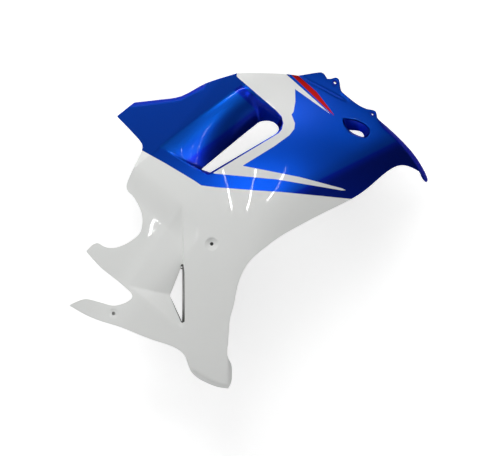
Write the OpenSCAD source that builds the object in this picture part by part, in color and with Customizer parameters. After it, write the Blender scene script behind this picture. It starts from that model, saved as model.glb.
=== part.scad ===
// Right-hand side fairing of a motorcycle: one moulded skin with an air scoop, an outlet slot,
// a gill, a signal recess, two screw seats and two fixing tabs.
// X points to the front of the motorcycle, Z up, and the outer face looks towards -Y.
// The origin is the middle of the main side screw's seat.

/* [Panel] */
// Length of the panel, from the lower arm's tip to the nose
panel_length = 725; // [690:5:760]
// Height of the panel, from the foot to the top edge
panel_height = 639; // [609:5:669]
// Thickness of the moulded skin
wall = 3; // [2.6:0.1:3.4]
// Spacing of the points that carry the curved surface
pitch = 11.5; // [11:0.5:16]

/* [Curvature] */
// How far the nose wraps in, towards the centre line
nose_wrap = 118; // [90:2:140]
// How far the top leans in, towards the tank
top_lean = 82; // [60:2:100]
// How far the belly tucks in
belly_tuck = 42; // [24:2:60]
// How far the rear arms taper in
rear_taper = 26; // [10:2:40]
// How far the field below the diagonal ridge lies back
ridge_fall = 13; // [6:1:18]
// How far the nose's underside turns in below its diagonal
nose_tuck = 20; // [12:1:28]

/* [Scoop] */
// Depth of the scoop's floor at the outlet slot
scoop_depth = 46; // [34:2:56]
// How far the wing falls away behind the scoop's crest
wing_drop = 42; // [26:2:50]
// Rise of the scoop's front wall for each millimetre towards the cheek
front_wall_slope = 1.15; // [0.9:0.05:1.4]
// Rise of the scoop's lower wall for each millimetre towards the band below it
lower_wall_slope = 2.2; // [1.8:0.1:2.6]
// Rise of the wall round the slot's front end, for each millimetre towards the cheek
end_wall_slope = 2.4; // [1.8:0.2:3]

/* [Gill] */
// Depth of the hollow at the gill
gill_depth = 22; // [14:1:28]
// Width of the gill's upright wall in the side view
gill_wall_run = 3.5; // [3:0.5:5]

/* [Signal recess] */
// Depth of the recess for the turn signal
signal_depth = 14; // [10:1:18]
// Thickness of the recess's own wall and floor
signal_wall = 2.4; // [2:0.2:3]

/* [Fixings] */
// Radius of the two screw holes
screw_r = 3.5; // [3:0.1:4.2]
// Radius of the main screw's dish at the skin
dish_r = 13; // [11:0.5:15]
// Depth of the main screw's seat below the skin
seat_depth = 4; // [3:0.25:5]
// Radius of the arm screw's dish at the skin
arm_dish_r = 9; // [8:0.5:11]
// Depth of the arm screw's seat below the skin
arm_seat_depth = 1.6; // [1:0.1:2.5]
// Thickness of the plastic under a screw's head
seat_wall = 3.5; // [3:0.25:4.5]
// Radius of the hole in the upper fixing tab
upper_tab_hole_r = 3; // [2.5:0.1:3.4]
// Radius of the hole in the front fixing tab
front_tab_hole_r = 2.2; // [1.8:0.1:2.6]
// Thickness of the pads round the tab holes
tab_pad = 4; // [3.6:0.2:5]
// Width of the pads round the tab holes
tab_pad_rim = 3; // [2.6:0.2:3.4]
// Drop of the front flange, which the nose cowl laps over
flange_drop = 4; // [3.4:0.1:5]

/* [Hidden] */
$fn = 48;
paint = [0.02, 0.12, 0.62];
// How far the panel reaches from the main screw, as drawn below.
reach_front = 437;
reach_rear = 288;
reach_top = 347;
reach_foot = 292;
stretch = [panel_length / (reach_front + reach_rear), panel_height / (reach_top + reach_foot)];
// How far cuts run past the outer face, how far they run behind it, and a depth past all of the panel.
cut_front = 8;
cut_back = 24;
through = 600;
// Run of a step in the face, such as the flange's, in the side view.
step_run = 5;
// A boss behind a screw's seat: its top below the face, its rim past the dish, and its draft.
boss_top = 1;
boss_rim = 0.5;
boss_draft = 2;
// How far the tabs' pads stand off the face.
pad_proud = 0.5;
// Rise of the wall at the slot's lower edge, for each millimetre, so that the floor runs on to the slot.
slot_wall_slope = 8;
// Fall of the folded lips along the nose, the foot and the wing, for each millimetre.
lip_slope = 0.9;

// Side view, in millimetres from the main screw, front to the right. A third value of 1 is a corner.
rim = [
  [-192, 258, 1], [-157, 286, 1], [-110, 291], [-63, 298], [-13, 324], [45, 343], [53, 345],
  [100, 345], [151, 343], [175, 340, 1], [217, 347], [224, 346], [230, 340], [233, 334, 1],
  [241, 334], [249, 336.5], [255, 335], [258, 329], [261, 311], [269, 302], [296, 281],
  [313, 273], [324, 271], [331, 268], [333.5, 261], [335, 254], [353, 238], [377, 216],
  [407, 184], [427, 154], [437, 132], [436, 124, 1], [427, 132], [421, 146, 1], [401, 156],
  [385, 159], [369, 155], [349, 142], [309, 108], [279, 89], [217, 58], [177, 37],
  [137, 14], [107, -8], [81, -30], [65, -52], [53, -82], [45, -122], [37, -152], [33, -202],
  [31, -216], [33, -228], [40, -244], [41, -262], [39, -280], [33, -292, 1], [9, -288],
  [-23, -274], [-39, -261], [-47, -246], [-53, -228], [-63, -216], [-83, -205], [-123, -192],
  [-183, -168], [-223, -156], [-253, -144], [-288, -124, 1], [-277, -118], [-255, -111],
  [-223, -118], [-199, -124], [-179, -120], [-163, -111], [-160, -104], [-167, -94], [-193, -72],
  [-223, -48], [-251, -18], [-253, -14, 1], [-233, 2], [-215, -6], [-199, -8], [-183, -4],
  [-163, 6], [-145, 22], [-140, 40], [-141, 60], [-149, 80], [-159, 96], [-169, 106],
  [-172, 116], [-167, 132], [-155, 158], [-141, 188], [-141, 202], [-163, 228]];
slot_rim = [[-21, 150, 1], [93, 244], [105, 248], [119, 247], [129, 242], [135, 232], [131, 224],
  [119, 216], [-3, 144, 1]];
gill_rim = [[-60, -44], [-84, -104], [-60, -156]];
signal_rim = [[265, 252], [279, 252], [295, 249], [312, 240], [319, 231], [318, 221], [309, 214],
  [293, 217], [280, 224], [268, 239]];
signal_hole = [[274, 228], [286, 230], [302, 227], [308, 217], [300, 213], [284, 217]];

arm_screw = [-198, -140];
tab_holes = [[249, 326], [325, 262]];

// The scoop: its crest, its front edge, the band below it, and the edge of the cheek round the slot.
crest = [[-109, 194], [53, 316]];
front_edge = [[49, 336], [127, 268]];
band_edge = [[-93, 188], [-8, 139.7]];
cheek_edge = [[-8, 139.7], [130, 223.7]];
end_edges = [[[127, 268], [141, 252]], [[141, 252], [141.5, 240]], [[141.5, 240], [130, 223.7]]];

// The flange's joggle and the folds of the foot and the wing, as heights for each x. The nose's
// fold, as x for each height.
flange_line = [[149, 355], [197, 325], [222, 313], [250, 298], [276, 284]];
foot_line = [[-35, -253], [-20, -266], [10, -279], [31, -284]];
wing_line = [[-157, 278], [-110, 283], [-63, 290], [-22, 312]];
nose_line = [[132, 430], [148, 421], [178, 401], [212, 372], [236, 346], [250, 338]];

// Lines that the points of the surface are moved onto, so that its edges are crisp.
// across: height for each x, with the run of a step above it. along: x for each height.
across = [
  [0, [[-108, 195], [52, 315]]],
  [step_run, [[-104, 192], band_edge[0], cheek_edge[0], cheek_edge[1]]],
  [0, [[56, 330], front_edge[1], end_edges[0][1]]],
  [0, [[-164, -86], [-61, -168]]],
  [0, [[-140, -90], [-83, -104], [-62, -109]]],
  [step_run, flange_line],
  [0, foot_line],
  [0, wing_line]];
along = [
  nose_line,
  [[-280, 33], [-224, 33]],
  [[244, 95.5], [262, 92.5], [279, 86], [296, 75], [311, 65]],
  [[223.7, 130], [240, 141.5], [252, 141]]];

function clamp(t) = max(0, min(1, t));
function ease(t) = let (c = clamp(t)) c * c * (3 - 2 * c);
function soft_ramp(s, w) = s < -w ? 0 : s > w ? s : pow(s + w, 2) / (4 * w);
function soft_min(a, b, k) = min(a, b) - pow(max(0, k - abs(a - b)), 2) / (4 * k);
function left_of(p, a, b) = ((b.x - a.x) * (p.y - a.y) - (b.y - a.y) * (p.x - a.x)) / norm(b - a);
function right_of(p, e) = max(0, -left_of(p, e[0], e[1]));
function share(p, a, b) = (p - a) * (b - a) / ((b - a) * (b - a));
function between(k, t) = k >= min(t[0][0], t[len(t) - 1][0]) && k <= max(t[0][0], t[len(t) - 1][0]);

// How far the outer face stands out at a point of the side view.
function crown(p) =
  -(p.x > 0 ? nose_wrap * pow(p.x / reach_front, 2) : rear_taper * pow(p.x / reach_rear, 2))
  - (p.y > 0 ? top_lean * pow(p.y / reach_top, 2.5) : belly_tuck * pow(p.y / reach_foot, 2))
  - nose_tuck * soft_ramp(-left_of(p, [177, 108], [377, 208]), 25) / 125 * ease((p.x - 40) / 180);

function ridge(p) =
  ridge_fall * ease(0.1 - left_of(p, [-153, 156], [3, 20]) / 60)
  * (1 - ease((share(p, [-153, 156], [3, 20]) - 0.55) / 0.4));

function wing(p) = let (v = left_of(p, crest[0], crest[1]))
  v <= 0 ? 0 : wing_drop * (0.0055 * v + 0.0045 * soft_ramp(left_of(p, [-91, 204], [-21, 286]), 5));

function scoop(p) = let (v = right_of(p, crest))
  v <= 0 ? 0 :
  let (
    u = 203 * share(p, crest[0], crest[1]),
    deep = scoop_depth * (0.22 + 0.78 * ease((u - 30) / 160)) * pow(v / 84, 1.7),
    fan = 0.12 + 0.88 * ease((share(p, front_edge[0], front_edge[1]) - 0.2) / 0.55),
    front = front_wall_slope * fan * right_of(p, front_edge),
    end = end_wall_slope * min([for (e = end_edges) right_of(p, e)]),
    lower = lower_wall_slope * max(0, left_of(p, band_edge[0], band_edge[1])),
    cheek = slot_wall_slope * max(0, left_of(p, cheek_edge[0], cheek_edge[1])))
  max(0, soft_min(min(deep, lower, cheek, end), front, 4));

function gill(p) =
  let (q = [min(p.x, -59), p.y],
    upper = max(0, -left_of(q, [-167, -84], [-59, 78])) / 95,
    lower = max(0, left_of(q, [-167, -84], [-61, -168])) / 44)
  gill_depth * min(upper, lower, 1.1) * clamp((-59 + gill_wall_run - p.x) / gill_wall_run);

function flange(p) =
  flange_drop * clamp((p.y - lookup(p.x, flange_line)) / step_run) * clamp((276 - p.x) / 14);

function lips(p) = lip_slope * (
  (p.x > 300 ? max(0, p.x - lookup(p.y, nose_line)) * clamp((p.y - 118) / 12)
    * clamp((258 - p.y) / 12) : 0)
  + (p.y < -215 ? max(0, p.x - 33) * clamp((-218 - p.y) / 10) : 0)
  + (p.y < -240 ? max(0, lookup(p.x, foot_line) - p.y) : 0)
  + (p.x < -15 && p.y > 240 ? max(0, p.y - lookup(p.x, wing_line)) : 0));

function stand(p) =
  seat_depth + crown(p) - ridge(p) - wing(p) - scoop(p) - gill(p) - flange(p) - lips(p);
function tilt(p) = [stand(p + [2, 0]) - stand(p - [2, 0]), stand(p + [0, 2]) - stand(p - [0, 2])] / 4;
function back(p) = -stand(p) + wall * min(1.9, norm([1, tilt(p).x, tilt(p).y]));

// Rim curves: a spline through the points, broken at the corners.
function is_corner(p) = len(p) == 3;
function flat(p) = [p.x, p.y];
function knot(r, i) = flat(r[(i + len(r)) % len(r)]);
function slope_at(r, i, out) = let (k = (i + len(r)) % len(r))
  is_corner(r[k]) ? (out ? knot(r, i + 1) - knot(r, i) : knot(r, i) - knot(r, i - 1))
  : (knot(r, i + 1) - knot(r, i - 1)) / 2;
function curve(r, n) = [for (i = [0:len(r) - 1]) let (a = knot(r, i), b = knot(r, i + 1),
  s = norm(b - a), m = s > 24 ? n : 1, ta = slope_at(r, i, true), tb = slope_at(r, i + 1, false),
  ka = ta * s / max(norm(ta), 0.1), kb = tb * s / max(norm(tb), 0.1))
  for (j = [0:m - 1]) let (t = j / m, t2 = t * t, t3 = t2 * t)
  (2 * t3 - 3 * t2 + 1) * a + (t3 - 2 * t2 + t) * ka + (3 * t2 - 2 * t3) * b + (t3 - t2) * kb];
function stretched(r) = [for (p = r) [p.x * stretch.x, p.y * stretch.y]];
outline = curve(rim, 3);

// Grid of the surface, with lines at the gill's wall.
function steps(a, b) = let (n = ceil((b - a) / pitch)) [for (i = [1:n]) a + (b - a) * i / n];
grid_x = concat([-299], steps(-299, -59), [-59 + gill_wall_run], steps(-59 + gill_wall_run, 447));
first_z = -303;
nx = len(grid_x) - 1;
nz = ceil(661 / pitch);
step_z = 661 / nz;
function grid_z(j) = first_z + j * step_z;
function row_of(z) = round((z - first_z) / step_z);

// For a point of the grid: its place, and which line it sits on.
function across_hit(i, j) = [for (k = [0:len(across) - 1]) let (t = across[k][1], x = grid_x[i])
  if (between(x, t)) let (z = lookup(x, t), r = row_of(z))
  if (j == r || (across[k][0] > 0 && j == r + 1))
  [x, j == r ? z : max(z + across[k][0], grid_z(j) - step_z), 2 * k + (j == r ? 1 : 2)]];
function near_x(i, x) = abs(grid_x[i] - x) <= min([for (k = [max(0, i - 1), min(nx, i + 1)])
  k == i ? 1000 : abs(grid_x[k] - x)]);
function along_hit(i, j) = [for (k = [0:len(along) - 1]) let (z = grid_z(j))
  if (between(z, along[k])) let (x = lookup(z, along[k])) if (near_x(i, x)) [x, z, 101 + k]];
function place(i, j) = let (a = across_hit(i, j))
  len(a) > 0 ? a[0] : let (b = along_hit(i, j)) len(b) > 0 ? b[0] : [grid_x[i], grid_z(j), 0];
places = [for (j = [0:nz]) [for (i = [0:nx]) place(i, j)]];

function inside(p, q, i = 0, c = false) = i >= len(q) ? c :
  let (a = q[i], b = q[(i + 1) % len(q)])
  inside(p, q, i + 1, ((a.y > p.y) != (b.y > p.y)
    && p.x < (b.x - a.x) * (p.y - a.y) / (b.y - a.y) + a.x) ? !c : c);
function gap(p, a, b) = norm(p - a - clamp(share(p, a, b)) * (b - a));
function rim_gap(p, q) = min([for (i = [0:len(q) - 1]) gap(p, q[i], q[(i + 1) % len(q)])]);
function middle(i, j) = flat(places[j][i] + places[j][i + 1] + places[j + 1][i]
  + places[j + 1][i + 1]) / 4;
keep = [for (j = [0:nz - 1]) [for (i = [0:nx - 1]) let (c = middle(i, j))
  inside(c, outline) || rim_gap(c, outline) < pitch * 1.1]];
function kept(i, j) = i >= 0 && j >= 0 && i < nx && j < nz && keep[j][i];

points = concat(
  [for (row = places) for (p = row) [p.x * stretch.x, -stand(flat(p)), p.y * stretch.y]],
  [for (row = places) for (p = row) [p.x * stretch.x, back(flat(p)), p.y * stretch.y]]);
half = (nx + 1) * (nz + 1);
function id(i, j, s) = s * half + j * (nx + 1) + i;
function mark(i, j) = places[j][i].z;
function outward(i, j) = -points[id(i, j, 0)].y;
function rising(i, j) =
  mark(i, j) > 0 && mark(i, j) == mark(i + 1, j + 1) ? true :
  mark(i + 1, j) > 0 && mark(i + 1, j) == mark(i, j + 1) ? false :
  outward(i, j) + outward(i + 1, j + 1) >= outward(i + 1, j) + outward(i, j + 1);
function skin_faces(i, j) = rising(i, j)
  ? [[id(i, j, 0), id(i, j + 1, 0), id(i + 1, j + 1, 0)],
     [id(i, j, 0), id(i + 1, j + 1, 0), id(i + 1, j, 0)],
     [id(i, j, 1), id(i + 1, j + 1, 1), id(i, j + 1, 1)],
     [id(i, j, 1), id(i + 1, j, 1), id(i + 1, j + 1, 1)]]
  : [[id(i, j, 0), id(i, j + 1, 0), id(i + 1, j, 0)],
     [id(i + 1, j, 0), id(i, j + 1, 0), id(i + 1, j + 1, 0)],
     [id(i, j, 1), id(i + 1, j, 1), id(i, j + 1, 1)],
     [id(i + 1, j, 1), id(i + 1, j + 1, 1), id(i, j + 1, 1)]];
function edge_faces(a, b) = let (c = a + half, d = b + half) [[a, b, d], [a, d, c]];
faces = [for (j = [0:nz - 1]) for (i = [0:nx - 1]) if (kept(i, j)) each concat(
  skin_faces(i, j),
  kept(i - 1, j) ? [] : edge_faces(id(i, j + 1, 0), id(i, j, 0)),
  kept(i + 1, j) ? [] : edge_faces(id(i + 1, j, 0), id(i + 1, j + 1, 0)),
  kept(i, j - 1) ? [] : edge_faces(id(i, j, 0), id(i + 1, j, 0)),
  kept(i, j + 1) ? [] : edge_faces(id(i + 1, j + 1, 0), id(i, j + 1, 0)))];

// A block under a rim in the side view, whose ends follow the outer face.
module block(r, y0, y1)
  let (n = len(r), all = concat(r, [sum(r) / n]))
    polyhedron(
      [for (y = [y0, y1]) for (p = all) [p.x * stretch.x, y - stand(p), p.y * stretch.y]],
      [for (i = [0:n - 1]) let (j = (i + 1) % n, f = n + 1)
        each [[i, j, n], [j + f, i + f, n + f], [i, i + f, j + f], [i, j + f, j]]]);
function sum(t, i = 0) = i == len(t) - 1 ? t[i] : t[i] + sum(t, i + 1);
function grown(r, g) = [for (i = [0:len(r) - 1]) let (a = knot(r, i - 1), b = knot(r, i),
  c = knot(r, i + 1), t = (c - a) / norm(c - a)) b + g * [-t.y, t.x]];

// Places a part on the outer face, with its own Z along the way the face looks.
module on_face(p)
  let (t = tilt(p), n = [-t.x, -1, -t.y] / norm([t.x, 1, t.y]))
    translate([p.x * stretch.x, -stand(p), p.y * stretch.y])
      rotate([acos(n.z), 0, atan2(n.x, -n.y)])
        children();

module disc(z0, z1, r0, r1)
  translate([0, 0, z0])
    cylinder(h = z1 - z0, r1 = r0, r2 = r1);

// Screw seats: a boss behind the skin and a dish into it. Tabs: a pad. All have a round hole.
module boss(p, seat, dish)
  on_face(p)
    disc(-seat - seat_wall, -boss_top, dish + boss_rim - boss_draft, dish + boss_rim);
module dish(p, seat, r)
  on_face(p)
    disc(-seat, boss_top, r * 0.55, r + boss_top * r * 0.45 / seat);
module pad(p, hole_r)
  on_face(p)
    disc(-tab_pad + pad_proud, pad_proud, hole_r + tab_pad_rim, hole_r + tab_pad_rim);
module hole(p, r)
  on_face(p)
    disc(-cut_back, cut_front, r, r);

module cut_through()
  rotate([90, 0, 0])
    linear_extrude(through, center = true)
      children();

module skin()
  intersection() {
    polyhedron(points, faces, convexity = 10);
    cut_through()
      difference() {
        polygon(stretched(outline));
        polygon(stretched(curve(slot_rim, 2)));
        polygon(stretched(gill_rim));
      }
  }

module fairing_panel()
  color(paint)
    difference() {
      union() {
        skin();
        block(grown(curve(signal_rim, 1), signal_wall), pad_proud, signal_depth + signal_wall);
        boss([0, 0], seat_depth, dish_r);
        boss(arm_screw, arm_seat_depth, arm_dish_r);
        pad(tab_holes[0], upper_tab_hole_r);
        pad(tab_holes[1], front_tab_hole_r);
      }
      block(curve(signal_rim, 1), -cut_front, signal_depth);
      cut_through()
        polygon(stretched(signal_hole));
      dish([0, 0], seat_depth, dish_r);
      dish(arm_screw, arm_seat_depth, arm_dish_r);
      hole([0, 0], screw_r);
      hole(arm_screw, screw_r);
      hole(tab_holes[0], upper_tab_hole_r);
      hole(tab_holes[1], front_tab_hole_r);
    }

fairing_panel();
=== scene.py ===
import math
import bpy
import bmesh
from mathutils import Matrix, Vector


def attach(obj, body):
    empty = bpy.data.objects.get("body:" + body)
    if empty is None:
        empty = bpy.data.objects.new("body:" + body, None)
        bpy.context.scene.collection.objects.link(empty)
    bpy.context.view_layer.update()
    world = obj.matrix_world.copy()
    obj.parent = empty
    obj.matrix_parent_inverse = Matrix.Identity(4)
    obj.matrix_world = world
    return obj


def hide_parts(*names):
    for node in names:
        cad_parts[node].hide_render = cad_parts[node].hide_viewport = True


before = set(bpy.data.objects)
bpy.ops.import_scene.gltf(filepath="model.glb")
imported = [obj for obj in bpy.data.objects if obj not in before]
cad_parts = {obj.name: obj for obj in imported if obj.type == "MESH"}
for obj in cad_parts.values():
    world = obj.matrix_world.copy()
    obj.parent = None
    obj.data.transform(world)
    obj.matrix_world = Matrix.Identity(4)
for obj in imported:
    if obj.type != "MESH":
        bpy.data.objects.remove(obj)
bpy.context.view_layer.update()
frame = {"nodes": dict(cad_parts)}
print("frame loaded, nodes:", ", ".join(frame["nodes"]))

# Side view of the panel in millimetres from the main screw, X to the front and Z up.
# A third value of 1 makes a corner, every other point is rounded.
rims = {
    "outline": [(-192, 258, 1), (-157, 286, 1), (-110, 291), (-63, 298), (-13, 324), (45, 343), (53, 345),
                (100, 345), (151, 343), (175, 340, 1), (217, 347), (224, 346), (230, 340), (233, 334, 1),
                (241, 334), (249, 336.5), (255, 335), (258, 329), (261, 311), (269, 302), (296, 281),
                (313, 273), (324, 271), (331, 268), (333.5, 261), (335, 254), (353, 238), (377, 216),
                (407, 184), (427, 154), (437, 132), (436, 124, 1), (427, 132), (421, 146, 1), (401, 156),
                (385, 159), (369, 155), (349, 142), (309, 108), (279, 89), (217, 58), (177, 37), (137, 14),
                (107, -8), (81, -30), (65, -52), (53, -82), (45, -122), (37, -152), (33, -202), (31, -216),
                (33, -228), (40, -244), (41, -262), (39, -280), (33, -292, 1), (9, -288), (-23, -274),
                (-39, -261), (-47, -246), (-53, -228), (-63, -216), (-83, -205), (-123, -192), (-183, -168),
                (-223, -156), (-253, -144), (-288, -124, 1), (-277, -118), (-255, -111), (-223, -118),
                (-199, -124), (-179, -120), (-163, -111), (-160, -104), (-167, -94), (-193, -72), (-223, -48),
                (-251, -18), (-253, -14, 1), (-233, 2), (-215, -6), (-199, -8), (-183, -4), (-163, 6),
                (-145, 22), (-140, 40), (-141, 60), (-149, 80), (-159, 96), (-169, 106), (-172, 116),
                (-167, 132), (-155, 158), (-141, 188), (-141, 202), (-163, 228)],
    "slot": [(-21, 150, 1), (93, 244), (105, 248), (119, 247), (129, 242), (135, 232), (131, 224), (119, 216),
             (-3, 144, 1)],
    "gill": [(-60, -44, 1), (-84, -104, 1), (-60, -156, 1)],
    "signalRim": [(265, 252), (279, 252), (295, 249), (312, 240), (319, 231), (318, 221), (309, 214),
                  (293, 217), (280, 224), (268, 239)],
    "signalHole": [(274, 228), (286, 230), (302, 227), (308, 217), (300, 213), (284, 217)],
}

skin = {
    "pitch": 2.45,        # spacing of the surface's points
    "from": (-294, -298), "span": (737, 650),    # the grid that the outline is cut from
    "gillX": -59,         # front of the gill's upright wall
    "wall": 3.0,
    "edgeRound": 0.7,     # radius on every cut edge
    "noseWrap": 118, "topLean": 82, "bellyTuck": 42, "rearTaper": 26, "ridgeFall": 13, "noseTuck": 20,
    "scoopDepth": 46, "wingDrop": 42, "frontWall": 1.15, "lowerWall": 2.2, "endWall": 2.4, "slotWall": 8,
    "gillDepth": 22, "gillWall": 3.5, "flangeDrop": 4, "signalDepth": 14, "lipSlope": 0.9,
    # the extra azure on the scoop's floor is a painted sheen; the deeper blue under the nose's diagonal and in the
    # scoop is painted shade
    "azure": 0.2, "paintedFloorSheen": 0.3,        # share of azure in the blue, and the least of it on the scoop's floor
    "paintedNoseShade": 0.75, "paintedScoopShade": 0.62,    # how much deeper the blue is under the nose's diagonal and in the scoop
}

# Edges of the scoop in the side view.
crest = [(-109, 194), (53, 316)]
frontEdge = [(49, 336), (127, 268)]
bandEdge = [(-93, 188), (-8, 139.7)]
cheekEdge = [(-8, 139.7), (130, 223.7)]
endEdges = [[(127, 268), (141, 252)], [(141, 252), (141.5, 240)], [(141.5, 240), (130, 223.7)]]

# Other lines of the shape, in the side view.
noseDiagonal = [(177, 108), (377, 208)]
ridgeLine = [(-153, 156), (3, 20)]
wingEdge = [(-91, 204), (-21, 286)]
gillUpper = [(-167, -84), (-59, 78)]
gillLower = [(-167, -84), (-61, -168)]

# Lines that the rows of points are moved onto: height for each x, and the step's run above it.
flangeLine = [(149, 355), (197, 325), (222, 313), (250, 298), (276, 284)]
footLine = [(-35, -253), (-20, -266), (10, -279), (31, -284)]
wingLine = [(-157, 278), (-110, 283), (-63, 290), (-22, 312)]
creases = [
    (0, [(-108, 195), (52, 315)]),
    (2.5, [(-104, 192), bandEdge[0], cheekEdge[0], cheekEdge[1]]),
    (0, [(56, 330), frontEdge[1], endEdges[0][1]]),
    (0, [(-164, -86), (-61, -168)]),
    (0, [(-140, -90), (-83, -104), (-62, -109)]),
    (5, flangeLine),
    (0, footLine),
    (0, wingLine),
]
noseLine = [(132, 430), (148, 421), (178, 401), (212, 372), (236, 346), (250, 338)]   # x for each height


def clamp(t): return max(0.0, min(1.0, t))


def ease(t): return clamp(t) ** 2 * (3 - 2 * clamp(t))


def softRamp(s, w): return 0.0 if s < -w else s if s > w else (s + w) ** 2 / (4 * w)


def softMin(a, b, k): return min(a, b) - max(0.0, k - abs(a - b)) ** 2 / (4 * k)


def leftOf(x, z, a, b):
    return ((b[0] - a[0]) * (z - a[1]) - (b[1] - a[1]) * (x - a[0])) / math.hypot(b[0] - a[0], b[1] - a[1])


def share(x, z, a, b):
    u, v = b[0] - a[0], b[1] - a[1]
    return ((x - a[0]) * u + (z - a[1]) * v) / (u * u + v * v)


def along(line, key):
    if key <= line[0][0]:
        return line[0][1]
    for a, b in zip(line, line[1:]):
        if key <= b[0]:
            return a[1] + (b[1] - a[1]) * (key - a[0]) / (b[0] - a[0])
    return line[-1][1]


def crown(x, z):
    wrap = skin["noseWrap"] * (x / 437) ** 2 if x > 0 else skin["rearTaper"] * (x / 288) ** 2
    lean = skin["topLean"] * (z / 347) ** 2.5 if z > 0 else skin["bellyTuck"] * (z / 292) ** 2
    under = skin["noseTuck"] * softRamp(-leftOf(x, z, *noseDiagonal), 25) / 125 * ease((x - 40) / 180)
    return -wrap - lean - under


def ridge(x, z):
    across = ease(0.1 - leftOf(x, z, *ridgeLine) / 60)
    return skin["ridgeFall"] * across * (1 - ease((share(x, z, *ridgeLine) - 0.55) / 0.4))


def wing(x, z):
    v = softRamp(leftOf(x, z, *crest), 1.6 + 4.4 * ease((share(x, z, *crest) - 0.55) / 0.4))
    beyond = softRamp(leftOf(x, z, *wingEdge), 5)
    return skin["wingDrop"] * (0.0055 * v + 0.0045 * beyond) if v > 0 else 0.0


def scoop(x, z):
    v = -leftOf(x, z, *crest)
    if v <= 0:
        return 0.0
    u = 203 * share(x, z, *crest)
    deep = skin["scoopDepth"] * (0.22 + 0.78 * ease((u - 30) / 160)) * (v / 84) ** 1.7
    fan = 0.12 + 0.88 * ease((share(x, z, *frontEdge) - 0.2) / 0.55)
    front = skin["frontWall"] * fan * softRamp(-leftOf(x, z, *frontEdge), 1.5)
    end = skin["endWall"] * min(max(0.0, -leftOf(x, z, *edge)) for edge in endEdges)
    lower = skin["lowerWall"] * max(0.0, leftOf(x, z, *bandEdge))
    cheek = skin["slotWall"] * max(0.0, leftOf(x, z, *cheekEdge))
    return max(0.0, softMin(softMin(min(deep, cheek), lower, 1.5), softMin(front, end, 1.5), 3))


def gill(x, z):
    q = min(x, skin["gillX"])
    upper = softRamp(-leftOf(q, z, *gillUpper), 3) / 95
    lower = softRamp(leftOf(q, z, *gillLower), 1) / 44
    wall = clamp((skin["gillX"] + skin["gillWall"] - x) / skin["gillWall"])
    return skin["gillDepth"] * min(upper, lower, 1.1) * wall


def flange(x, z):
    return skin["flangeDrop"] * ease((z - along(flangeLine, x)) / 5) * clamp((276 - x) / 14)


def lips(x, z):
    fall = 0.0
    if x > 300:
        fall += softRamp(x - along(noseLine, z), 1.2) * clamp((z - 118) / 12) * clamp((258 - z) / 12)
    if z < -215:
        fall += softRamp(x - 33, 1.2) * clamp((-218 - z) / 10)
    if z < -240:
        fall += softRamp(along(footLine, x) - z, 1.2)
    if x < -15 and z > 240:
        fall += softRamp(z - along(wingLine, x), 1.2)
    return skin["lipSlope"] * fall


def standOut(x, z):
    return 4 + crown(x, z) - ridge(x, z) - wing(x, z) - scoop(x, z) - gill(x, z) - flange(x, z) - lips(x, z)


def onSkin(x, z, sink=0.0):
    return Vector((x, sink - standOut(x, z), z)) / 1000


def outward(x, z):
    dx = (standOut(x + 2, z) - standOut(x - 2, z)) / 4
    dz = (standOut(x, z + 2) - standOut(x, z - 2)) / 4
    return Vector((-dx, -1, -dz)).normalized()


# The blue's tone by place: a painted azure sheen on the scoop's floor near the crest, and painted navy shade under
# the nose's diagonal, on the nose's fold and in the scoop.
def paintedSheenAndShade(x, z):                                 # by place alone: 1 for azure, -1 for navy
    # painted shade under the nose's diagonal and on the nose's fold
    nose = skin["paintedNoseShade"] * ease((-leftOf(x, z, *noseDiagonal) + 6) / 22) * ease((x - 90) / 120)
    if x > 300:
        nose = max(nose, ease((x - along(noseLine, z) + 2) / 3))
    shade = skin["azure"]
    depth, run = -leftOf(x, z, *crest), -leftOf(x, z, *frontEdge)
    # painted shade in the scoop's deep end and along its front wall, and a painted azure sheen on its floor near the
    # crest
    wall = 0.0
    if min(depth, run, leftOf(x, z, *bandEdge), leftOf(x, z, *cheekEdge)) > 0:
        wall = skin["paintedScoopShade"] * max(ease((depth - 50) / 25), ease((run - 2) / 8) * ease((24 - run) / 8))
        shade = max(shade, skin["paintedFloorSheen"] * (1 - ease((depth - 20) / 40)))
    return shade * (1 - max(nose, wall)) - max(nose, wall)


def smoothRim(points, parts):
    rim = []
    count = len(points)
    for i in range(count):
        a, b = Vector(points[i][:2]), Vector(points[(i + 1) % count][:2])
        before, after = Vector(points[i - 1][:2]), Vector(points[(i + 2) % count][:2])
        ta = (b - a) if len(points[i]) == 3 else (b - before) / 2
        tb = (b - a) if len(points[(i + 1) % count]) == 3 else (after - a) / 2
        span = (b - a).length
        ta, tb = ta.normalized() * span, tb.normalized() * span
        for j in range(parts):
            t = j / parts
            rim.append((2 * t**3 - 3 * t**2 + 1) * a + (t**3 - 2 * t**2 + t) * ta
                       + (3 * t**2 - 2 * t**3) * b + (t**3 - t**2) * tb)
    return rim


def circleRim(x, z, r, parts=48):
    return [Vector((x + r * math.cos(k * math.tau / parts), z + r * math.sin(k * math.tau / parts)))
            for k in range(parts)]


def nearest(p, rim):
    best, place = 1e9, p
    for a, b in zip(rim, rim[1:] + rim[:1]):
        edge = b - a
        q = a + edge * clamp((p - a).dot(edge) / max(edge.length_squared, 1e-9))
        gap = (p - q).length
        if gap < best:
            best, place = gap, q
    return best, place


def inside(p, rim):
    hit = False
    for a, b in zip(rim, rim[1:] + rim[:1]):
        if (a.y > p.y) != (b.y > p.y) and p.x < (b.x - a.x) * (p.y - a.y) / (b.y - a.y) + a.x:
            hit = not hit
    return hit


def signedGap(p, rim):
    gap = nearest(p, rim)[0]
    return gap if inside(p, rim) else -gap


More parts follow.
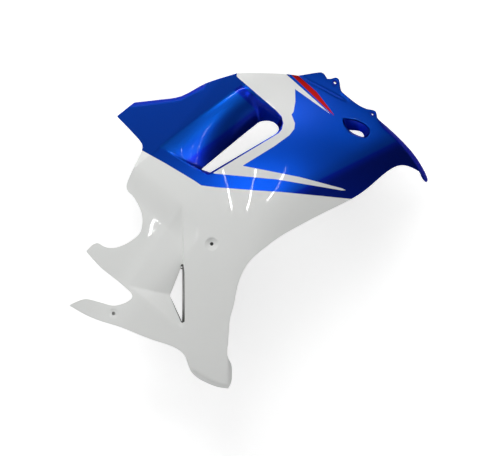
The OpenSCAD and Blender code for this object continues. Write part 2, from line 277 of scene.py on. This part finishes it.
# Screws and tabs: place, radius of the cut in the skin, and the profile's sizes, in millimetres.
seats = {
    "sideSeat": {"at": (0, 0), "cut": 12.7, "rim": 13.4, "seat": 7.2, "hole": 3.5, "depth": 4.0, "under": 3.5},
    "armSeat": {"at": (-198, -140), "cut": 8.7, "rim": 9.2, "seat": 5.2, "hole": 3.5, "depth": 1.6, "under": 3.5},
}
tabs = {
    "upperTab": {"at": (249, 326), "cut": 5.5, "rim": 6.0, "hole": 3.0},
    "frontTab": {"at": (325, 262), "cut": 4.7, "rim": 5.2, "hole": 2.2},
}

fittings = {"edgeRound": 0.3, "recessWall": 2.4, "tabTop": 0.45, "tabLow": -3.5, "tabBare": -1.2}

outline = smoothRim(rims["outline"], 4)
openings = [smoothRim(rims["slot"], 4), smoothRim(rims["gill"], 1), smoothRim(rims["signalRim"], 4)]
openings += [circleRim(*piece["at"], piece["cut"]) for piece in list(seats.values()) + list(tabs.values())]

# Paint lines in the side view, in millimetres.
paint = {
    "whiteField": [(-141, 188.6), (-93, 162), (-33, 126), (-21, 117.6), (7, 114), (97, 107), (140, 104.4),
                   (283, 90.4), (420, 77), (420, -320), (-320, -320), (-320, 60), (-200, 150)],
    "whiteStripe": [(53, 360), (151, 360), (151, 342), (168, 312), (168.4, 286.4), (164.8, 266), (160.6, 260.8),
                    (167.6, 242.8), (166.2, 231.6), (156.2, 218.8), (125.4, 196.4), (62, 157.2), (177, 134.6),
                    (264, 111.5), (272, 107.8), (262, 107.8), (130, 130), (-1, 142), (0, 141), (134.5, 222.6),
                    (141.4, 231.4), (144.2, 243.6), (141, 256.6), (129.4, 269.4), (50, 338)],
    "whiteBranch": [(150.6, 362), (150.6, 342.2), (247.6, 255.6), (168, 312.6), (140, 330)],
    "redStripe": [(160.8, 362), (160.8, 341.2), (247, 258), (248.6, 258.6), (211.8, 306.6), (174.2, 340.2),
                  (174.2, 362)],
    # painted shadow: a dark line round the gill's upright wall
    "gillPaintedShadow": [(-62.5, -41.5), (-56.5, -40), (-54.8, -60), (-54.4, -156), (-58, -159), (-61.5, -158),
                 (-72, -134.5), (-86, -104.6), (-84, -104), (-60, -152)],
}


def smoothed(mesh):
    mesh.polygons.foreach_set("use_smooth", [True] * len(mesh.polygons))


def buildSkin():
    pitch = skin["pitch"]
    xs = [skin["from"][0] + pitch * i for i in range(int(skin["span"][0] / pitch) + 1)]
    zs = [skin["from"][1] + pitch * j for j in range(int(skin["span"][1] / pitch) + 1)]
    for wanted in (skin["gillX"], skin["gillX"] + skin["gillWall"]):
        k = min(range(len(xs)), key=lambda i: abs(xs[i] - wanted))
        xs[k] = wanted
    bm = bmesh.new()
    bmesh.ops.create_grid(bm, x_segments=len(xs) - 1, y_segments=len(zs) - 1, size=1)
    bm.verts.ensure_lookup_table()
    order = sorted(bm.verts, key=lambda v: (round(v.co.y, 5), round(v.co.x, 5)))
    for k, v in enumerate(order):
        x, z = xs[k % len(xs)], zs[k // len(xs)]
        v.co = Vector((x, 0, z))
    for i, x in enumerate(xs):                       # rows onto the creases
        for run, line in creases:
            if line[0][0] <= x <= line[-1][0]:
                z = along(line, x)
                j = round((z - zs[0]) / pitch)
                if j + 1 >= len(zs):
                    continue
                order[j * len(xs) + i].co.z = z
                if run:
                    order[(j + 1) * len(xs) + i].co.z = max(z + min(run, 1.4 * pitch), zs[j + 1] - 0.4 * pitch)
    dead = []
    for f in bm.faces:
        c = f.calc_center_median()
        p = Vector((c.x, c.z))
        if not inside(p, outline) or any(inside(p, rim) for rim in openings):
            dead.append(f)
    bmesh.ops.delete(bm, geom=dead, context="FACES")
    for v in bm.verts:                               # the cut edges onto the rims
        if v.is_boundary:
            p = Vector((v.co.x, v.co.z))
            place = min((nearest(p, rim) for rim in [outline] + openings), key=lambda hit: hit[0])[1]
            v.co.x, v.co.z = place.x, place.y
    bmesh.ops.remove_doubles(bm, verts=bm.verts, dist=0.15)
    layers = {name: bm.verts.layers.float.new(name) for name in paint}
    # each point's painted sheen and shade of the blue
    shade = bm.verts.layers.float.new("paintedSheenAndShade")
    shapes = {name: [Vector(p) for p in points] for name, points in paint.items()}
    for v in bm.verts:
        p = Vector((v.co.x, v.co.z))
        for name, layer in layers.items():
            v[layer] = signedGap(p, shapes[name])
        v[shade] = paintedSheenAndShade(p.x, p.y)
        v.co = onSkin(p.x, p.y)
    bmesh.ops.recalc_face_normals(bm, faces=bm.faces)
    bm.faces.ensure_lookup_table()
    if sum(f.normal.y for f in bm.faces) > 0:
        bmesh.ops.reverse_faces(bm, faces=bm.faces)
    mesh = bpy.data.meshes.new("fairingSkin")
    bm.to_mesh(mesh)
    bm.free()
    smoothed(mesh)
    panel = bpy.data.objects.new("fairingSkin", mesh)
    bpy.context.collection.objects.link(panel)
    wall = panel.modifiers.new("wall", "SOLIDIFY")
    wall.thickness = skin["wall"] / 1000
    wall.offset = -1
    wall.use_even_offset = True
    wall.thickness_clamp = 1.0
    wall.material_offset = 1
    wall.material_offset_rim = 0
    edge = panel.modifiers.new("edgeRound", "BEVEL")
    edge.width = skin["edgeRound"] / 1000
    edge.segments = 2
    edge.limit_method = "ANGLE"
    edge.angle_limit = math.radians(58)
    print("skin:", len(mesh.vertices), "points")
    return panel


def placed(name, bm, at):
    n = outward(*at)
    turn = n.to_track_quat("Z", "Y").to_matrix().to_4x4()
    bmesh.ops.transform(bm, verts=bm.verts, matrix=Matrix.Translation(onSkin(*at)) @ turn)
    bmesh.ops.recalc_face_normals(bm, faces=bm.faces)
    mesh = bpy.data.meshes.new(name)
    bm.to_mesh(mesh)
    bm.free()
    smoothed(mesh)
    piece = bpy.data.objects.new(name, mesh)
    bpy.context.collection.objects.link(piece)
    edge = piece.modifiers.new("edgeRound", "BEVEL")
    edge.width = fittings["edgeRound"] / 1000
    edge.segments = 2
    edge.limit_method = "ANGLE"
    edge.angle_limit = math.radians(30)
    return piece


def turned(name, profile, at, bareBelow=-100, bareHole=0):
    bm = bmesh.new()
    ring = [bm.verts.new((r / 1000, 0, z / 1000)) for r, z in profile]
    edges = [bm.edges.new((a, b)) for a, b in zip(ring, ring[1:] + ring[:1])]
    bmesh.ops.spin(bm, geom=ring + edges, cent=(0, 0, 0), axis=(0, 0, 1), angle=math.tau, steps=64, use_merge=True)
    bmesh.ops.remove_doubles(bm, verts=bm.verts, dist=1e-6)
    for f in bm.faces:                               # only what shows from the front is painted
        c = f.calc_center_median()
        if c.z < bareBelow / 1000 or (bareHole and math.hypot(c.x, c.y) < bareHole / 1000):
            f.material_index = 1
    return placed(name, bm, at)


def buildSeat(name, s):
    low = -s["depth"] - s["under"]
    start = -0.25 * s["depth"]
    profile = [(s["rim"], start), (s["seat"], -s["depth"]), (s["hole"], -s["depth"]), (s["hole"], low),
               (s["rim"] - 1.5, low), (s["rim"] + 0.4, -2.4)]
    return turned(name, profile, s["at"], -s["depth"] - 0.2, s["hole"] + 0.1)


def buildNut(name, s):                               # the clip nut behind the screw's seat, a blind one
    top = -s["depth"] - s["under"]
    profile = [(0.0, top), (s["hole"] + 2.6, top), (s["hole"] + 2.6, top - 1.4), (s["hole"], top - 2.2),
               (0.0, top - 2.2)]
    return turned(name, profile, s["at"])


def buildTab(name, s):
    top, low = fittings["tabTop"], fittings["tabLow"]
    profile = [(s["rim"], top), (s["hole"], top), (s["hole"], low), (s["rim"], low)]
    return turned(name, profile, s["at"], fittings["tabBare"])


def buildRecess():
    rim = smoothRim(rims["signalRim"], 4)
    hole = smoothRim(rims["signalHole"], 4)
    middle = sum(rim, Vector((0, 0))) / len(rim)
    rows = [(1.5, 0.8), (0.4, 1.0), (-0.6, 6.0), (-1.4, 11.5), (-2.2, 13.4)]
    bm = bmesh.new()
    loops = []
    for grow, sink in rows:
        loop = []
        for p in rim:
            q = p + (p - middle).normalized() * grow
            loop.append(bm.verts.new(onSkin(q.x, q.y, sink)))
        loops.append([bm.edges.new((a, b)) for a, b in zip(loop, loop[1:] + loop[:1])])
    loop = []
    for p in rim:                                    # the floor, as far as the see-through opening
        q = p - (p - middle).normalized() * 3
        q = q if inside(q, hole) else nearest(q, hole)[1]
        loop.append(bm.verts.new(onSkin(q.x, q.y, skin["signalDepth"])))
    loops.append([bm.edges.new((a, b)) for a, b in zip(loop, loop[1:] + loop[:1])])
    for a, b in zip(loops, loops[1:]):
        bmesh.ops.bridge_loops(bm, edges=a + b)
    bmesh.ops.recalc_face_normals(bm, faces=bm.faces)
    if sum(f.normal.y * f.calc_area() for f in bm.faces) > 0:
        bmesh.ops.reverse_faces(bm, faces=bm.faces)
    mesh = bpy.data.meshes.new("signalRecess")
    bm.to_mesh(mesh)
    bm.free()
    smoothed(mesh)
    piece = bpy.data.objects.new("signalRecess", mesh)
    bpy.context.collection.objects.link(piece)
    wall = piece.modifiers.new("wall", "SOLIDIFY")
    wall.thickness = fittings["recessWall"] / 1000
    wall.offset = -1
    wall.material_offset = 1
    return piece


finish = {
    # the azure blue is the paint's own tone and also its painted sheen; the navy blue is only painted shade
    "blueDeep": (0.0004, 0.012, 0.36, 1), "blueAzureAndSheen": (0.001, 0.19, 0.46, 1), "bluePaintedShade": (0.0004, 0.006, 0.12, 1),
    "flake": (0.003, 0.05, 0.60, 1), "white": (0.79, 0.80, 0.785, 1), "stripe": (0.76, 0.765, 0.755, 1),
    # the gill's dark colour is a painted shadow
    "red": (0.37, 0.005, 0.0015, 1), "gillPaintedShadow": (0.06, 0.06, 0.058, 1),
    "plasticDark": (0.028, 0.028, 0.03, 1), "plasticLight": (0.045, 0.045, 0.048, 1),
    "zincDark": (0.42, 0.42, 0.41, 1), "zincLight": (0.56, 0.56, 0.55, 1),
    "edgeTint": (0.15, 0.22, 0.75, 1), "paintRough": 0.3, "coatOnBlue": 0.12, "coatOnWhite": 0.7, "coatRough": 0.03,
    "maskEdge": 0.12,     # half the soft width of a paint line, in millimetres
}


def newMaterial(name):
    material = bpy.data.materials.new(name)
    material.use_nodes = True
    nodes, links = material.node_tree.nodes, material.node_tree.links
    return material, nodes, links, nodes["Principled BSDF"]


def math1(nodes, links, kind, a, b=None):
    node = nodes.new("ShaderNodeMath")
    node.operation = kind
    for k, value in enumerate((a, b)):
        if value is None:
            continue
        if isinstance(value, (int, float)):
            node.inputs[k].default_value = value
        else:
            links.new(value, node.inputs[k])
    return node.outputs[0]


def paintMask(nodes, links, name):
    field = nodes.new("ShaderNodeAttribute")
    field.attribute_name = name
    edge = nodes.new("ShaderNodeMapRange")
    edge.inputs["From Min"].default_value = -finish["maskEdge"]
    edge.inputs["From Max"].default_value = finish["maskEdge"]
    links.new(field.outputs["Fac"], edge.inputs["Value"])
    return edge.outputs["Result"]


def mixed(nodes, links, factor, a, b):
    node = nodes.new("ShaderNodeMix")
    node.data_type = "RGBA"
    links.new(factor, node.inputs[0])
    for socket, value in ((node.inputs[6], a), (node.inputs[7], b)):
        if isinstance(value, tuple):
            socket.default_value = value
        else:
            links.new(value, socket)
    return node.outputs[2]


def objectNoise(nodes, links, scale, detail=2.0):
    place = nodes.new("ShaderNodeTexCoord")
    noise = nodes.new("ShaderNodeTexNoise")
    noise.inputs["Scale"].default_value = scale
    noise.inputs["Detail"].default_value = detail
    links.new(place.outputs["Object"], noise.inputs["Vector"])
    return noise.outputs["Fac"]


def glossPaint(name, fields=True, plain="blue"):
    material, nodes, links, shader = newMaterial(name)
    flakes = nodes.new("ShaderNodeMapRange")
    flakes.inputs["From Min"].default_value = 0.35
    flakes.inputs["From Max"].default_value = 0.75
    flakes.inputs["To Max"].default_value = 0.25
    links.new(objectNoise(nodes, links, 1800, 1.0), flakes.inputs["Value"])
    # the blue takes its painted sheen (azure) and painted shade (navy) from the points
    shade = nodes.new("ShaderNodeAttribute")
    shade.attribute_name = "paintedSheenAndShade"
    blueTone = mixed(nodes, links, shade.outputs["Fac"], finish["blueDeep"], finish["blueAzureAndSheen"])
    navy = math1(nodes, links, "MULTIPLY", shade.outputs["Fac"], -1.0)
    blueTone = mixed(nodes, links, navy, blueTone, finish["bluePaintedShade"])
    blueTone = mixed(nodes, links, flakes.outputs["Result"], blueTone, finish["flake"])
    if fields:
        field = paintMask(nodes, links, "whiteField")
        stripe = math1(nodes, links, "MAXIMUM", paintMask(nodes, links, "whiteStripe"),
                       paintMask(nodes, links, "whiteBranch"))
        red = paintMask(nodes, links, "redStripe")
        # painted shadow along the gill's upright wall
        shadow = paintMask(nodes, links, "gillPaintedShadow")
        colour = mixed(nodes, links, field, blueTone, finish["white"])
        colour = mixed(nodes, links, stripe, colour, finish["stripe"])
        colour = mixed(nodes, links, red, colour, finish["red"])
        colour = mixed(nodes, links, shadow, colour, finish["gillPaintedShadow"])
        solid = math1(nodes, links, "MAXIMUM", math1(nodes, links, "MAXIMUM", field, stripe), red)
        pale = math1(nodes, links, "SUBTRACT", solid, red)
        links.new(math1(nodes, links, "SUBTRACT", 1.0, pale), shader.inputs["Metallic"])
        clear = nodes.new("ShaderNodeMapRange")
        clear.inputs["To Min"].default_value = finish["coatOnBlue"]
        clear.inputs["To Max"].default_value = finish["coatOnWhite"]
        links.new(pale, clear.inputs["Value"])
        links.new(clear.outputs["Result"], shader.inputs["Coat Weight"])
        links.new(colour, shader.inputs["Base Color"])
    elif plain == "white":
        shader.inputs["Base Color"].default_value = finish["white"]
        shader.inputs["Coat Weight"].default_value = finish["coatOnWhite"]
    else:
        links.new(blueTone, shader.inputs["Base Color"])
        shader.inputs["Metallic"].default_value = 1.0
        shader.inputs["Coat Weight"].default_value = finish["coatOnBlue"]
    shader.inputs["Roughness"].default_value = finish["paintRough"]
    shader.inputs["Specular IOR Level"].default_value = 0.0      # the clear coat alone reflects
    shader.inputs["Specular Tint"].default_value = finish["edgeTint"]
    shader.inputs["Coat Roughness"].default_value = finish["coatRough"]
    shader.inputs["Coat IOR"].default_value = 1.5
    peel = nodes.new("ShaderNodeBump")
    peel.inputs["Strength"].default_value = 0.01
    peel.inputs["Distance"].default_value = 0.0004
    links.new(objectNoise(nodes, links, 220, 1.0), peel.inputs["Height"])
    links.new(peel.outputs["Normal"], shader.inputs["Normal"])
    return material


def barePlastic():
    material, nodes, links, shader = newMaterial("barePlastic")
    grain = objectNoise(nodes, links, 900, 3.0)
    tone = mixed(nodes, links, grain, finish["plasticDark"], finish["plasticLight"])
    links.new(tone, shader.inputs["Base Color"])
    shader.inputs["Roughness"].default_value = 0.5
    bump = nodes.new("ShaderNodeBump")
    bump.inputs["Strength"].default_value = 0.25
    bump.inputs["Distance"].default_value = 0.0002
    links.new(grain, bump.inputs["Height"])
    links.new(bump.outputs["Normal"], shader.inputs["Normal"])
    return material


def platedZinc():
    material, nodes, links, shader = newMaterial("platedZinc")
    grain = objectNoise(nodes, links, 1500, 2.0)
    tone = mixed(nodes, links, grain, finish["zincDark"], finish["zincLight"])
    links.new(tone, shader.inputs["Base Color"])
    shader.inputs["Metallic"].default_value = 0.6
    shader.inputs["Roughness"].default_value = 0.4
    return material


panelPaint = glossPaint("twoTonePaint")
bluePaint = glossPaint("bluePaint", fields=False)
whitePaint = glossPaint("whitePaint", fields=False, plain="white")
innerSide = barePlastic()
zinc = platedZinc()
print("paints mixed")

panel = buildSkin()
pieces = [(panel, panelPaint)]
pieces += [(buildSeat(name, s), whitePaint) for name, s in seats.items()]
pieces += [(buildTab(name, s), bluePaint) for name, s in tabs.items()]
pieces.append((buildRecess(), bluePaint))
# the side nut is a blind piece in dark bare plastic, which closes the screw's hole so that it shows dark
pieces.append((buildNut("sideNut", seats["sideSeat"]), innerSide))
pieces.append((buildNut("armNut", seats["armSeat"]), zinc))
for piece, coat in pieces:
    piece.data.materials.append(coat)
    piece.data.materials.append(innerSide)
    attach(piece, "root")
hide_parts("fairing_panel")
print("panel built:", len(pieces), "pieces")

studio = {
    "cameraAt": (0.077, -16.75, 0.032), "lens": 600,
    "backdropY": 0.21, "backdropGlow": 0.55, "floorZ": -1.1, "floorGlow": 0.2,
    # soft boxes far off: which way, how bright, how wide
    "sky": [((0.20, -0.96, 0.17), 0.78, 0.061), ((0.33, -0.65, 0.68), 2.6, 0.012),
            ((-0.52, 0.15, 0.84), 0.70, 0.858)],
    "fillAt": (-1.1, -2.4, 3.6), "fill": 134, "fillSize": (3.0, 3.0), "skyOnMatt": 0.62, "skyLeast": 0.02,
    # strip lamps that only show in the gloss: both ends as turn and rise in degrees, width, brightness
    "stripReach": 12.0,
    "strips": [((3.2, 20), (5.8, 6.5), 0.35, 80), ((13.4, 20), (10.6, 6), 0.35, 80),
               ((22.6, 20), (17.5, 7.5), 0.35, 80), ((14.5, 42), (16.5, 46), 2.6, 50), ((44, 36), (47, 30), 0.4, 60),
               ((-9.3, 5), (-10.3, 0.5), 0.25, 60)],
}


def areaLight(name, at, towards, size, power):
    light = bpy.data.lights.new(name, "AREA")
    light.shape = "RECTANGLE"
    light.size, light.size_y = size
    light.energy = power
    lamp = bpy.data.objects.new(name, light)
    bpy.context.collection.objects.link(lamp)
    lamp.location = at
    lamp.rotation_euler = (Vector(towards) - Vector(at)).to_track_quat("-Z", "Y").to_euler()
    return lamp


def stagePlane(name, size, matrix, level):
    bm = bmesh.new()
    bmesh.ops.create_grid(bm, x_segments=1, y_segments=1, size=size)
    bmesh.ops.transform(bm, verts=bm.verts, matrix=matrix)
    mesh = bpy.data.meshes.new(name)
    bm.to_mesh(mesh)
    bm.free()
    plane = bpy.data.objects.new(name, mesh)
    bpy.context.collection.objects.link(plane)
    material, nodes, links, shader = newMaterial(name)
    shader.inputs["Base Color"].default_value = (0.8, 0.8, 0.8, 1)
    shader.inputs["Roughness"].default_value = 0.9
    shader.inputs["Specular IOR Level"].default_value = 0.0
    path = nodes.new("ShaderNodeLightPath")
    seen = math1(nodes, links, "MAXIMUM", path.outputs["Is Camera Ray"],
                 math1(nodes, links, "MAXIMUM", path.outputs["Is Glossy Ray"], path.outputs["Is Transmission Ray"]))
    links.new(math1(nodes, links, "MULTIPLY", seen, level), shader.inputs["Emission Strength"])
    shader.inputs["Emission Color"].default_value = (1, 1, 1, 1)
    side = nodes.new("ShaderNodeNewGeometry")
    clear = nodes.new("ShaderNodeBsdfTransparent")
    both = nodes.new("ShaderNodeMixShader")
    links.new(side.outputs["Backfacing"], both.inputs[0])
    links.new(shader.outputs[0], both.inputs[1])
    links.new(clear.outputs[0], both.inputs[2])
    links.new(both.outputs[0], nodes["Material Output"].inputs["Surface"])
    plane.data.materials.append(material)
    return plane


def towardsSky(turn, rise):
    turn, rise = math.radians(turn), math.radians(rise)
    return Vector((math.sin(turn) * math.cos(rise), -math.cos(turn) * math.cos(rise), math.sin(rise)))


def stripLamp(name, start, end, width, level):
    reach = studio["stripReach"]
    a, b = towardsSky(*start), towardsSky(*end)
    middle = (a + b).normalized()
    size = (width * math.radians(1) * reach, (b - a).length * reach)
    lamp = areaLight(name, middle * reach, (0, 0, 0), size, level * math.pi * size[0] * size[1])
    long = (b - a).normalized()
    lamp.rotation_euler = Matrix((long.cross(middle), long, middle)).transposed().to_euler()
    lamp.visible_diffuse = False
    lamp.visible_transmission = False
    return lamp


standing = Matrix.Translation((0.08, studio["backdropY"], 0.4)) @ Matrix.Rotation(math.radians(90), 4, "X")
stagePlane("backdrop", 3.0, standing, studio["backdropGlow"])
stagePlane("floor", 9.0, Matrix.Translation((0, -2.0, studio["floorZ"])), studio["floorGlow"])

world = bpy.data.worlds.new("studio")
bpy.context.scene.world = world
world.use_nodes = True
wNodes, wLinks = world.node_tree.nodes, world.node_tree.links
around = wNodes.new("ShaderNodeTexCoord")
sky = studio["skyLeast"]
for towards, level, width in studio["sky"]:
    facing = wNodes.new("ShaderNodeVectorMath")
    facing.operation = "DOT_PRODUCT"
    wLinks.new(around.outputs["Generated"], facing.inputs[0])
    facing.inputs[1].default_value = Vector(towards).normalized()
    away = math1(wNodes, wLinks, "SUBTRACT", facing.outputs["Value"], 1.0)
    fall = math1(wNodes, wLinks, "EXPONENT", math1(wNodes, wLinks, "DIVIDE", away, width))
    sky = math1(wNodes, wLinks, "ADD", math1(wNodes, wLinks, "MULTIPLY", fall, level), sky)
path = wNodes.new("ShaderNodeLightPath")
level = wNodes.new("ShaderNodeMix")
level.data_type = "FLOAT"
wLinks.new(path.outputs["Is Camera Ray"], level.inputs[0])
matt = math1(wNodes, wLinks, "SUBTRACT", 1.0, math1(wNodes, wLinks, "MULTIPLY", path.outputs["Is Diffuse Ray"],
                                                    1.0 - studio["skyOnMatt"]))
wLinks.new(math1(wNodes, wLinks, "MULTIPLY", sky, matt), level.inputs[2])
level.inputs[3].default_value = 1.0
wNodes["Background"].inputs["Color"].default_value = (1, 1, 1, 1)
wLinks.new(level.outputs[0], wNodes["Background"].inputs["Strength"])

fill = areaLight("fillBox", studio["fillAt"], (0, 0, 0), studio["fillSize"], studio["fill"])
fill.visible_glossy = False
for k, strip in enumerate(studio["strips"]):
    stripLamp("strip" + str(k + 1), *strip)

camera = bpy.data.objects.new("camera", bpy.data.cameras.new("camera"))
bpy.context.collection.objects.link(camera)
camera.data.lens = studio["lens"]
camera.data.sensor_width = 36
camera.location = studio["cameraAt"]
camera.rotation_euler = (math.radians(90), 0, 0)
bpy.context.scene.camera = camera
bpy.context.scene.view_settings.view_transform = "Standard"
print("studio lit")
